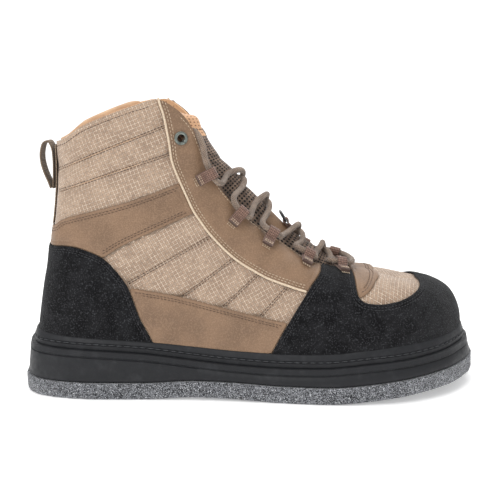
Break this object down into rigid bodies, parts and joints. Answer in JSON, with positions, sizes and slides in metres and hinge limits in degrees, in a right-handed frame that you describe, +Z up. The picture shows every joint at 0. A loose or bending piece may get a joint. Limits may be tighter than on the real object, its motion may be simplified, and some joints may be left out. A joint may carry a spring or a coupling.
{
  "type": "wading boot",
  "caption": "Ankle-high laced wading boot for the right foot, with felt sole, rubber sidewall and rand, hollow upper, tongue and lacing.",
  "frame": {"origin": "under the middle of the sole, on the floor", "axes": "+X from heel to toe, +Y towards the medial side, +Z up"},
  "size_m": [0.318, 0.118, 0.1979],
  "materials": {
    "felt": "needled grey felt",
    "rubber": "matt moulded rubber",
    "lining": "soft lining cloth",
    "ripstop": "coated ripstop cloth",
    "black_microfibre": "napped microfibre",
    "leather": "smooth synthetic leather",
    "webbing": "ribbed webbing",
    "tongue_mesh": "open knitted mesh",
    "eyelet_metal": "dull plated metal",
    "lace_cord": "round braided cord",
    "ring_wire": "glossy black coated wire"
  },
  "bodies": {
    "boot": {"felt_outsole": "felt", "midsole": "rubber", "rand": "rubber", "insole": "lining", "upper": "ripstop", "collar_lining": "lining", "forefoot_wrap": "black_microfibre", "heel_counter": "black_microfibre", "ankle_band": "leather", "side_band_lateral": "leather", "side_band_medial": "leather", "eyestay_lateral": "leather", "eyestay_medial": "leather", "vamp_patch": "leather", "backstrap": "webbing", "tongue": "tongue_mesh", "eyelet_lateral": "eyelet_metal", "eyelet_medial": "eyelet_metal", "tongue_tab": "leather", "ring_keeper": "webbing", "lace_loop_lateral_1": "webbing", "lace_loop_lateral_2": "webbing", "lace_loop_lateral_3": "webbing", "lace_loop_lateral_4": "webbing", "lace_loop_lateral_5": "webbing", "lace_loop_medial_1": "webbing", "lace_loop_medial_2": "webbing", "lace_loop_medial_3": "webbing", "lace_loop_medial_4": "webbing", "lace_loop_medial_5": "webbing", "lace": "lace_cord", "lace_end_lateral": "lace_cord", "lace_end_medial": "lace_cord", "pull_loop": "webbing"},
    "ring": {"tongue_ring": "ring_wire"}
  },
  "joints": [
    {"name": "ring_swing", "type": "hinge", "parent": "boot", "child": "ring", "pos_m": [0.0235, -0.0025, 0.11491], "axis": [0, 1, 0], "range_deg": [0, 120]}
  ]
}
